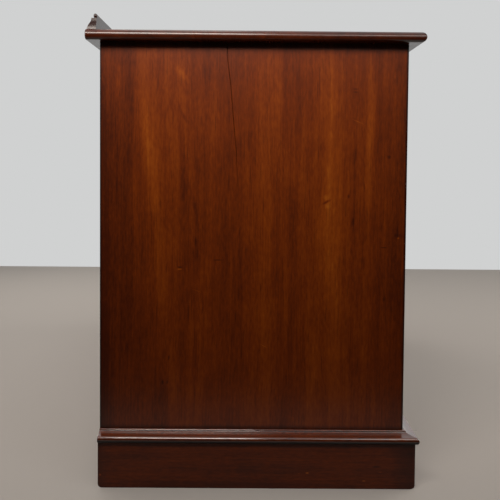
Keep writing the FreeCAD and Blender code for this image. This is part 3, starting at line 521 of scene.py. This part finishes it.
def plain_oak(name, grain_axis, shift_mm, side_span=None):
    """Planed oak with no finish: straw brown, with long open pores that read as dark dashes. Where a side
    span is given, the boards outside it in X, which are a drawer's sides, run front to back."""
    material, shader = new_finish(name)
    board = board_lines(material, grain_axis, shift_mm)
    if side_span:
        sides = board_lines(material, "Y", shift_mm)
        place = add(material, "TexCoord").outputs["Object"]
        along = add(material, "SeparateXYZ", {"Vector": place}).outputs["X"]
        middle = (side_span[0] + side_span[1]) / 2
        off = add(material, "Math", {0: along, 1: middle}, operation="SUBTRACT").outputs[0]
        off = add(material, "Math", {0: off}, operation="ABSOLUTE").outputs[0]
        half_span = side_span[1] - middle
        outside = add(material, "Math", {0: off, 1: half_span}, operation="GREATER_THAN").outputs[0]
        board = add(material, "MixRGB", {"Fac": outside, "Color1": board, "Color2": sides}).outputs[0]
    band = streaks(material, board, *OAK_BAND_MM)
    fibre = streaks(material, board, *OAK_FIBRE_MM)
    tone = OAK_TONE
    for layer, share in ((band, OAK_BAND_SHARE), (fibre, OAK_FIBRE_SHARE)):
        tone = add(material, "Math", {0: layer, 1: share, 2: tone}, operation="MULTIPLY_ADD").outputs[0]
    colour = add(material, "ValToRGB", {"Fac": tone}, stops=OAK_TONES).outputs["Color"]
    pore = streaks(material, board, *OAK_PORE_MM)
    dash = add(material, "MapRange", {"Value": pore, **OAK_PORE_RANGE}).outputs[0]
    faint = add(material, "Math", {0: dash, 1: OAK_PORE_SHARE}, operation="MULTIPLY").outputs[0]
    pored = add(
        material, "MixRGB", {"Fac": faint, "Color1": colour, "Color2": linear(OAK_PORE_BROWN)}
    ).outputs[0]
    sunk = add(material, "Math", {0: dash, 1: -1.0}, operation="MULTIPLY").outputs[0]
    relief = add(
        material, "Bump", {"Height": sunk, "Strength": OAK_RELIEF, "Distance": OAK_RELIEF_MM * MM}
    ).outputs[0]
    dull = add(material, "MapRange", {"Value": fibre, **OAK_DULLNESS}).outputs[0]
    feed(material, shader, {"Base Color": pored, "Normal": relief, "Roughness": dull})
    return material


runner_oak = plain_oak("runner_oak", "Y", (30, 70, 110))
dress(runner_oak, "left_drawer_runners", "right_drawer_runners", "centre_drawer_runners")
bottom_oak = plain_oak("bottom_oak", "X", (55, 20, 410))
dress(bottom_oak, "left_bottom_board", "right_bottom_board", "drawer_stops")


# Backboards: thin upright pine boards, set in rebates in the panels, with their arrises taken off, and
# rubbed over with a thin brown stain, so the wide soft grain still shows.

BACKBOARD_ARRIS_MM = 1.2
PINE_TONES = [(0.0, "#43230F"), (0.45, "#6C3C1D"), (0.7, "#88512A"), (1.0, "#A0673A")]
PINE_BAND_MM = (34, 700, 2.5)
PINE_FIBRE_MM = (2.6, 80, 2.0)
PINE_RINGS = 34.0
PINE_RING_SHARE = 0.09
PINE_FIBRE_SHARE = 0.7
PINE_TONE = 0.17
PINE_RELIEF = 0.35
PINE_RELIEF_MM = 0.3
PINE_DULLNESS = {"To Min": 0.55, "To Max": 0.8}
back_plane = left_high.y


def stained_pine(name, shift_mm):
    """Sawn pine under a thin brown stain: broad soft bands between harder dark lines, dull and dry."""
    material, shader = new_finish(name)
    board = board_lines(material, "Z", shift_mm)
    band = streaks(material, board, *PINE_BAND_MM)
    ring = add(material, "Math", {0: band, 1: PINE_RINGS}, operation="MULTIPLY").outputs[0]
    ring = add(material, "Math", {0: ring}, operation="SINE").outputs[0]
    fibre = streaks(material, board, *PINE_FIBRE_MM)
    tone = PINE_TONE
    for layer, share in ((ring, PINE_RING_SHARE), (fibre, PINE_FIBRE_SHARE)):
        tone = add(material, "Math", {0: layer, 1: share, 2: tone}, operation="MULTIPLY_ADD").outputs[0]
    colour = add(material, "ValToRGB", {"Fac": tone}, stops=PINE_TONES).outputs["Color"]
    relief = add(
        material, "Bump", {"Height": fibre, "Strength": PINE_RELIEF, "Distance": PINE_RELIEF_MM * MM}
    ).outputs[0]
    dull = add(material, "MapRange", {"Value": fibre, **PINE_DULLNESS}).outputs[0]
    feed(material, shader, {"Base Color": colour, "Normal": relief, "Roughness": dull})
    return material


back_pine = stained_pine("back_pine", (15, 25, 140))
for node in ("left_backboards", "right_backboards"):
    boards = joined_mesh(node)
    ease(boards, BACKBOARD_ARRIS_MM, upright_near("y", back_plane))
    finished_piece(node + "_eased", boards, back_pine, node)


# Plinths: three boards round each pedestal, glued to the panels, mitred at the front corners and backed by
# glue blocks. The grain runs along each board, and years of brooms and feet have rounded the lower
# corners.

PLINTH_ARRIS_MM = 1.4
WORN_CORNER_MM = 7.0
WORN_SLOPES = [math.radians(degrees) for degrees in (20, 45, 70)]
CUT_SLACK_MM = 0.02
JOINT_SLACK_MM = 0.05
front_plane = left_low.y


def lies_in(item, plane, slack_mm):
    """Whether all of an edge or a face lies in a plane, given by a point and the way out."""
    point, outward = plane
    way = Vector(outward).normalized()
    return all(abs((vert.co - Vector(point)).dot(way)) < slack_mm * MM for vert in item.verts)


def part_of(node, *planes):
    """The closed part of a node that lies behind all the planes."""
    shape = welded_copy(node)
    for plane in planes:
        point, outward = plane
        bmesh.ops.bisect_plane(
            shape,
            geom=shape.verts[:] + shape.edges[:] + shape.faces[:],
            dist=WELD_MM * MM,
            plane_co=point,
            plane_no=outward,
            clear_outer=True,
        )
        lying = [face for face in shape.faces if lies_in(face, plane, CUT_SLACK_MM)]
        bmesh.ops.delete(shape, geom=lying, context="FACES_ONLY")
        stray = [edge for edge in shape.edges if edge.is_wire]
        bmesh.ops.delete(shape, geom=stray, context="EDGES")
        rim = [edge for edge in shape.edges if edge.is_boundary]
        bmesh.ops.holes_fill(shape, edges=rim, sides=0)
    make_flats_whole(shape)
    bmesh.ops.recalc_face_normals(shape, faces=shape.faces)
    return shape


def off_planes(*planes):
    """A test for edges that lie in none of the planes, so that a tight joint keeps its sharp edge."""
    return lambda edge: not any(lies_in(edge, plane, JOINT_SLACK_MM) for plane in planes)


def pedestal_faces(side):
    """The low and high outer faces in X of a pedestal."""
    if side == "left":
        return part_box("left_end_panel")[0].x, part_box("left_kneehole_panel")[1].x
    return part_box("right_kneehole_panel")[0].x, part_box("right_end_panel")[1].x


def border_planes(side):
    """The planes that part the three lengths round a pedestal: for each, its mitres and its seat."""
    low, high = pedestal_faces(side)
    low_corner = (low, front_plane, 0)
    high_corner = (high, front_plane, 0)
    return {
        "low_side": [(low_corner, (1, -1, 0)), (low_corner, (1, 0, 0))],
        "front": [
            (low_corner, (-1, 1, 0)),
            (high_corner, (1, 1, 0)),
            (low_corner, (0, 1, 0)),
        ],
        "high_side": [(high_corner, (-1, -1, 0)), (high_corner, (-1, 0, 0))],
    }


def worn_planes(corner, outward):
    """Planes that round a lower corner off, from nearly upright to nearly level."""
    radius = WORN_CORNER_MM * MM
    away = Vector(outward).normalized()
    centre = Vector(corner) - away * radius + Vector((0, 0, radius))
    ways = [away * math.cos(slope) + Vector((0, 0, -1)) * math.sin(slope) for slope in WORN_SLOPES]
    return [(centre + way * radius, way) for way in ways]


# The plinth at the left end is darker at its ends and along its foot, and has a dark streak and chipped
# spots, given in the same form as the end panel's figure
plinth_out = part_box("left_plinth")[0].x
PLINTH_FIGURE_MM = [
    (285, 40, 50, 300, 0.00, -0.22),
    (-265, 40, 40, 300, 0.00, -0.18),
    (0, 2, 900, 16, 0.00, -0.12),
    (-206, 38, 11, 2.5, 0.00, -0.30),
]
PLINTH_SCARS_MM = [
    (-184, 14, 4.5, 1.5, 0.00, 0.60),
    (-89, 27, 4.5, 1.7, 0.00, 0.90),
    (-75, 26, 3.0, 1.2, 0.00, 0.25),
    (-211, 29, 4.5, 1.2, 0.00, 0.30),
    (258, 22, 2.5, 3.0, 0.00, 0.50),
]


def plinth_figure(owner):
    """The shades of the plinth at the left end."""
    return figure_and_shade_marks(owner, plinth_out, PLINTH_FIGURE_MM, PLINTH_SCARS_MM)


WORN_FINISH = {"tone_shift": -0.11, "coat": (0.08, 0.42), "film": (1.36, 0.36)}
plinth_mahogany = {
    "left_end": polished_mahogany(
        "plinth_end_mahogany", "Y", (220, 35, 60), figure_and_shade=plinth_figure, **WORN_FINISH
    ),
    "low_side": polished_mahogany("plinth_low_side_mahogany", "Y", (240, 75, 20), **WORN_FINISH),
    "front": polished_mahogany("plinth_front_mahogany", "X", (45, 250, 510), **WORN_FINISH),
    "high_side": polished_mahogany("plinth_high_side_mahogany", "Y", (70, 160, 290), **WORN_FINISH),
}
block_pine = stained_pine("block_pine", (140, 60, 30))
for side in ("left", "right"):
    node = side + "_plinth"
    low, high = pedestal_faces(side)
    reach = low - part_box(node)[0].x
    wear = {
        "low_side": worn_planes((low - reach, front_plane - reach, 0), (-1, -1, 0)),
        "high_side": worn_planes((high + reach, front_plane - reach, 0), (1, -1, 0)),
    }
    for length, planes in border_planes(side).items():
        worn = list(wear.get(length, wear["low_side"] + wear["high_side"]))
        if length != "front" and (side == "left") == (length == "low_side"):
            worn += worn_planes((0, back_plane, 0), (0, 1, 0))
        shape = part_of(node, *planes, *worn)
        ease(shape, PLINTH_ARRIS_MM, off_planes(*planes))
        board = "left_end" if (side, length) == ("left", "low_side") else length
        finished_piece(f"{side}_plinth_{length}", shape, plinth_mahogany[board], node)
    block_planes = [
        ((low, 0, 0), (-1, 0, 0)),
        ((high, 0, 0), (1, 0, 0)),
        ((0, front_plane, 0), (0, -1, 0)),
    ]
    blocks = part_of(node, *block_planes)
    finished_piece(f"{side}_plinth_blocks", blocks, block_pine, node)


# Base mouldings: three lengths round each pedestal on top of the plinth, mitred at the front corners. They
# are worked with moulding planes: a rounded fillet, a hollow slope and a round nose, all polished, and the
# rounds are rubbed bright, so each one shows as a bright line.

MOULDING_ARRIS_MM = 0.7
MOULDING_FINISH = {"tone_shift": -0.10, "coat": (1.0, 0.09), "film": (1.36, 0.20), "open_grain": 0.02}
MOULDING_COAT_INDEX = 1.75
# How far faces look up, from -1 to 1, where the gloss and the unshaded colour begin and are full
GLOSS_RANGE = {"From Min": -0.20, "From Max": 0.05}
OWN_COLOUR_RANGE = {"From Min": -0.20, "From Max": 0.35}
# painted shade that faces take on as they turn down
UNDERSIDE_SHADE = "#1B0C08"
moulding_mahogany = {
    "low_side": polished_mahogany("moulding_low_side_mahogany", "Y", (15, 320, 90), **MOULDING_FINISH),
    "front": polished_mahogany("moulding_front_mahogany", "X", (130, 20, 170), **MOULDING_FINISH),
    "high_side": polished_mahogany("moulding_high_side_mahogany", "Y", (60, 95, 380), **MOULDING_FINISH),
}


def dull_and_shade_below(material):
    """Fades the gloss of faces that look down, as the underside of a moulding is never rubbed up, and
    darkens the colour with a painted shade, full on faces that look down and strong on upright ones too."""
    shader = material.node_tree.nodes["Principled BSDF"]
    facing = add(material, "NewGeometry").outputs["True Normal"]
    upward = add(material, "SeparateXYZ", {"Vector": facing}).outputs["Z"]
    rubbed = add(material, "MapRange", {"Value": upward, **GLOSS_RANGE}).outputs[0]
    # the colour turns to a painted shade as faces turn down
    own_colour = add(material, "MapRange", {"Value": upward, **OWN_COLOUR_RANGE}).outputs[0]
    wood = shader.inputs["Base Color"].links[0].from_socket
    shaded = add(material, "MixRGB", {"Fac": own_colour, "Color1": linear(UNDERSIDE_SHADE), "Color2": wood}).outputs[0]
    feed(material, shader, {"Base Color": shaded, "Coat Weight": rubbed, "Coat IOR": MOULDING_COAT_INDEX})


for material in moulding_mahogany.values():
    dull_and_shade_below(material)
for side in ("left", "right"):
    node = side + "_base_moulding"
    for length, planes in border_planes(side).items():
        shape = part_of(node, *planes)
        ease(shape, MOULDING_ARRIS_MM, off_planes(*planes))
        finished_piece(f"{side}_moulding_{length}", shape, moulding_mahogany[length], node)


# Top: a solid board with a rounded edge in front and at both ends and a square back, screwed up through
# the rails. It is the best polished face of the desk.

TOP_ARRIS_MM = 0.8
BACK_SLACK_MM = 0.01
DARK_EDGE_MM = 7
EDGE_FADE_MM = 18
DARK_EDGE_TONE = -0.16
TOP_FINISH = {"tone_shift": -0.14, "coat": (0.25, 0.12), "film": (1.42, 0.26), "open_grain": 0.05}
top_board = joined_mesh("desk_top")
top_low, top_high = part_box("desk_top")
back_limit = top_high.y - BACK_SLACK_MM * MM
ease(top_board, TOP_ARRIS_MM, lambda edge: all(vert.co.y > back_limit for vert in edge.verts))


def darker_edge(owner):
    """The front and the ends of the top, darker towards their edges."""
    place = add(owner, "TexCoord").outputs["Object"]
    across = add(owner, "SeparateXYZ", {"Vector": place}).outputs
    along = add(owner, "Math", {0: across["X"]}, operation="ABSOLUTE").outputs[0]
    end_range = {"From Min": top_high.x - EDGE_FADE_MM * MM, "From Max": top_high.x - DARK_EDGE_MM * MM}
    end_tones = {"To Min": 0.0, "To Max": DARK_EDGE_TONE}
    ends = add(owner, "MapRange", {"Value": along, **end_range, **end_tones}).outputs[0]
    front_range = {"From Min": top_low.y + DARK_EDGE_MM * MM, "From Max": top_low.y + EDGE_FADE_MM * MM}
    front_tones = {"To Min": DARK_EDGE_TONE, "To Max": 0.0}
    front = add(owner, "MapRange", {"Value": across["Y"], **front_range, **front_tones}).outputs[0]
    return add(owner, "Math", {0: ends, 1: front}, operation="MINIMUM").outputs[0]


top_mahogany = polished_mahogany("top_mahogany", "X", (360, 150, 20), figure_and_shade=darker_edge, **TOP_FINISH)
finished_piece("top_board", top_board, top_mahogany, "desk_top")


# Screws that hold the top: plain countersunk steel wood screws, driven up through the top rails. They are
# bare turned steel with patches of rust, and are seen only from below.

# The width of the patches, and how finely they are drawn
RUST_MM = (4, 3.0)
STEEL_TONES = [(0.35, "#4B4540"), (0.65, "#5A3B28")]
STEEL_DULLNESS = {"To Min": 0.35, "To Max": 0.7}


def mottled_metal(name, patch_mm, tones, dull_range):
    """Old bare metal with a mottle of soft patches, which change its colour and its gloss."""
    material, shader = new_finish(name)
    place = add(material, "TexCoord").outputs["Object"]
    width_mm, detail = patch_mm
    fineness = {"Scale": 1 / (width_mm * MM), "Detail": detail}
    patch = add(material, "TexNoise", {"Vector": place, **fineness}).outputs[0]
    colour = add(material, "ValToRGB", {"Fac": patch}, stops=tones).outputs["Color"]
    dull = add(material, "MapRange", {"Value": patch, **dull_range}).outputs[0]
    feed(material, shader, {"Base Color": colour, "Metallic": 1.0, "Roughness": dull})
    return material


screw_steel = mottled_metal("screw_steel", RUST_MM, STEEL_TONES, STEEL_DULLNESS)
dress(screw_steel, "top_fixing_screws")


# Gallery: a low moulded strip along the back of the top, let into a groove. Its front is flat, and an ogee
# and a bead run along its back and return across its ends.

GALLERY_FINISH = {"tone_shift": -0.60, "coat": (0.0, 0.12), "film": (1.4, 0.22), "open_grain": 0.02}
gallery_mahogany = polished_mahogany("gallery_mahogany", "X", (75, 210, 440), **GALLERY_FINISH)
dress(gallery_mahogany, "gallery")


# Drawers: mahogany fronts with a mitred cock bead, dovetailed to oak sides. The bead has a glossier coat,
# and its colour is a lighter tone, a painted highlight so that it shows as a bright line. Each drawer has
# one turned knob, and the wide centre drawer has two. A brass box lock is let into the back of each front,
# with a brass escutcheon round its keyhole.

BEAD_WIDTH_MM = 3
BEAD_DEPTH_MM = 5
BEAD_SLOT = 1
SIDE_THICKNESS_MM = 10
RUBBED = (1.0, 0.12)
TARNISH_MM = (9, 4.0)
BRASS_TONES = [(0.30, "#C29A4E"), (0.55, "#A57F3C"), (0.75, "#6E5128")]
BRASS_DULLNESS = {"From Min": 0.3, "From Max": 0.75, "To Min": 0.22, "To Max": 0.5}
# How far each drawer's oak is moved on from the last one's, so that no two are cut from the same stretch
OAK_STEP_MM = (37, 53, 29)
front_mahogany = polished_mahogany("drawer_front_mahogany", "X", (200, 80, 130), tone_shift=0.05)
# the bead's lighter tone is a painted highlight, and its rubbed coat is real gloss
bead_mahogany = polished_mahogany("cock_bead_mahogany", "X", (10, 15, 20), tone_shift=0.12, coat=RUBBED)
knob_mahogany = polished_mahogany("knob_mahogany", "Y", (25, 45, 65), tone_shift=-0.06, coat=RUBBED)
aged_brass = mottled_metal("aged_brass", TARNISH_MM, BRASS_TONES, BRASS_DULLNESS)

drawer_bodies = [body for body in frame["bodies"] if body.endswith("_drawer")]
side_thickness = SIDE_THICKNESS_MM * MM
for number, body in enumerate(drawer_bodies):
    box_low, box_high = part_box(body + "_box")
    inside = (box_low.x + side_thickness, box_high.x - side_thickness)
    box_oak = plain_oak(body + "_oak", "X", [step * number for step in OAK_STEP_MM], inside)
    dress(box_oak, body + "_box")
    front = joined_mesh(body + "_front")
    front_low, front_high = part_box(body + "_front")
    for face in front.faces:
        middle = face.calc_center_median()
        below = middle - front_low
        above = front_high - middle
        margins = (below.x, above.x, below.z, above.z)
        if min(margins) < BEAD_WIDTH_MM * MM and middle.y < front_plane + BEAD_DEPTH_MM * MM:
            face.material_index = BEAD_SLOT
    front_piece = finished_piece(body + "_front_board", front, front_mahogany, body + "_front", body)
    front_piece.data.materials.append(bead_mahogany)
    dress(knob_mahogany, body + ("_knobs" if body == "centre_drawer" else "_knob"))
    dress(aged_brass, body + "_lock")


# Studio: a plain pale floor that stops where a wall would stand, a pale surround, soft boxes high in front
# of the left end and round the other sides, and dark flags that keep the polish from going grey.

FLOOR_GREY = "#A9A6A2"
FLOOR_GLOW = "#4E4B48"
FLOOR_BOUNCE = "#2A2624"
FLOOR_DULLNESS = 0.75
FLOOR_REACH = 4.5
WALL_LINE = 1.85
SURROUND_GREY = "#D0D1D1"
AMBIENT_WHITE = "#FFF8F0"
AMBIENT_STRENGTH = 0.045
LAMP_WHITE = "#FFF3E8"
FELT_BLACK = "#101010"
FELT_DULLNESS = 0.9
OPEN_BOX = math.radians(180)
GRIDDED_BOX = math.radians(110)
# Soft boxes: the place and the target, the width and the height, the power in watts, and the spread, which
# is narrower where a grid hangs over the box
SOFT_BOXES = {
    "key_box": ((-1.225, 0.22, 1.20), (-0.59, 0.10, 0.80), (0.50, 0.24), 3.0, GRIDDED_BOX),
    "end_fill_box": ((-1.225, -0.60, 1.20), (-0.59, -0.10, 0.80), (1.10, 0.24), 2.2, GRIDDED_BOX),
    "front_box": ((0.30, -2.10, 1.90), (0.05, -0.25, 0.45), (1.6, 1.0), 26, OPEN_BOX),
    "far_end_box": ((1.90, 1.30, 1.60), (0.60, 0.05, 0.45), (1.2, 1.0), 6, GRIDDED_BOX),
    "back_box": ((0.30, 2.10, 1.80), (0.0, 0.28, 0.45), (1.6, 1.0), 15, OPEN_BOX),
    "roof_box": ((0.35, 0.0, 2.70), (0.35, 0.0, 0.76), (1.8, 1.2), 8, OPEN_BOX),
}
# Flags: the place, the way each faces, and the width and the height
DARK_FLAGS = {
    "end_flag": ((-1.30, 0, 0.50), (1, 0, 0), (2.6, 1.0)),
    "low_flag": ((-0.97, 0, 0.15), (1, 0, 0), (2.6, 0.30)),
    "front_flag": ((0, -3.4, 1.0), (0, 1, 0), (5.0, 2.4)),
}
scene = bpy.context.scene
scene.view_settings.view_transform = "Standard"


def seen_rays(owner):
    """1 for rays from the camera, and for those that gloss or glass sends on, and 0 for soft bounces."""
    ray = add(owner, "LightPath").outputs
    seen = ray["Is Camera Ray"]
    for other in ("Is Glossy Ray", "Is Transmission Ray"):
        seen = add(owner, "Math", {0: seen, 1: ray[other]}, operation="MAXIMUM").outputs[0]
    return seen


def stage_sheet(name, material, size, place, turn=Matrix()):
    """A flat sheet of the studio, which isn't part of the desk."""
    # a grid's size is half its width, so this one starts as a metre square
    sheet = bmesh.new()
    bmesh.ops.create_grid(sheet, x_segments=1, y_segments=1, size=0.5)
    bmesh.ops.scale(sheet, verts=sheet.verts, vec=(*size, 1))
    bmesh.ops.transform(sheet, verts=sheet.verts, matrix=Matrix.Translation(place) @ turn)
    mesh = bpy.data.meshes.new(name)
    sheet.to_mesh(mesh)
    sheet.free()
    mesh.materials.append(material)
    stage = bpy.data.objects.new(name, mesh)
    scene.collection.objects.link(stage)
    return stage


# matt grey paint, which throws little light back up at the desk
floor_paint, floor_shader = new_finish("floor_paint")
floor_seen = seen_rays(floor_paint)
floor_tones = {"Color1": linear(FLOOR_BOUNCE), "Color2": linear(FLOOR_GREY)}
floor_colour = add(floor_paint, "MixRGB", {"Fac": floor_seen, **floor_tones}).outputs[0]
feed(floor_paint, floor_shader, {"Base Color": floor_colour, "Roughness": FLOOR_DULLNESS})
floor_glow = {"Emission Color": linear(FLOOR_GLOW), "Emission Strength": floor_seen}
feed(floor_paint, floor_shader, floor_glow)
stage_sheet("floor", floor_paint, (2 * FLOOR_REACH, 2 * FLOOR_REACH), (WALL_LINE - FLOOR_REACH, 0, 0))

surround = bpy.data.worlds.new("surround")
scene.world = surround
surround.use_nodes = True
surround.node_tree.nodes.clear()
wall = add(surround, "Background", {"Color": linear(SURROUND_GREY), "Strength": 1.0}).outputs[0]
ambient_light = {"Color": linear(AMBIENT_WHITE), "Strength": AMBIENT_STRENGTH}
ambient = add(surround, "Background", ambient_light).outputs[0]
both = add(surround, "MixShader", {"Fac": seen_rays(surround), 1: ambient, 2: wall}).outputs[0]
add(surround, "OutputWorld", {"Surface": both})

# black felt, for the polish to reflect, on cards that the camera doesn't see
black_felt, felt_shader = new_finish("black_felt")
feed(black_felt, felt_shader, {"Base Color": linear(FELT_BLACK), "Roughness": FELT_DULLNESS})
for name, (centre, facing, size) in DARK_FLAGS.items():
    turn = Vector(facing).to_track_quat("Z", "Y").to_matrix().to_4x4()
    flag = stage_sheet(name, black_felt, size, centre, turn)
    flag.visible_camera = False
    flag.visible_shadow = False

for name, (centre, target, size, power, spread) in SOFT_BOXES.items():
    lamp = bpy.data.lights.new(name, "AREA")
    lamp.shape = "RECTANGLE"
    lamp.size, lamp.size_y = size
    lamp.energy = power
    lamp.spread = spread
    lamp.color = linear(LAMP_WHITE)[:3]
    holder = bpy.data.objects.new(name, lamp)
    holder.location = centre
    holder.rotation_euler = (Vector(target) - Vector(centre)).to_track_quat("-Z", "Y").to_euler()
    scene.collection.objects.link(holder)


# Camera: level with the middle of the left end, looking along the desk. Its place and tilt are fitted to
# the corners of the end panel, and the lens is shifted as in the photograph.

CAMERA_PLACE_MM = (-1756.7, 17.28, 546.5)
CAMERA_YAW = -0.0055
CAMERA_PITCH = -0.0385
CAMERA_ROLL = 0.0084
LENS_MM = 50.4
FRAME_SHIFT = -0.1214
SENSOR_MM = 36

forward = Vector(
    (
        math.cos(CAMERA_YAW) * math.cos(CAMERA_PITCH),
        math.sin(CAMERA_YAW) * math.cos(CAMERA_PITCH),
        math.sin(CAMERA_PITCH),
    )
)
level = Vector((math.sin(CAMERA_YAW), -math.cos(CAMERA_YAW), 0))
above = level.cross(forward)
rightward = level * math.cos(CAMERA_ROLL) + above * math.sin(CAMERA_ROLL)
upward = above * math.cos(CAMERA_ROLL) - level * math.sin(CAMERA_ROLL)
lens = bpy.data.cameras.new("camera")
lens.lens = LENS_MM
lens.sensor_width = SENSOR_MM
lens.shift_y = FRAME_SHIFT
camera = bpy.data.objects.new("camera", lens)
scene.collection.objects.link(camera)
turned = Matrix((rightward, upward, -forward)).transposed().to_4x4()
camera.matrix_world = Matrix.Translation(Vector(CAMERA_PLACE_MM) * MM) @ turned
scene.camera = camera
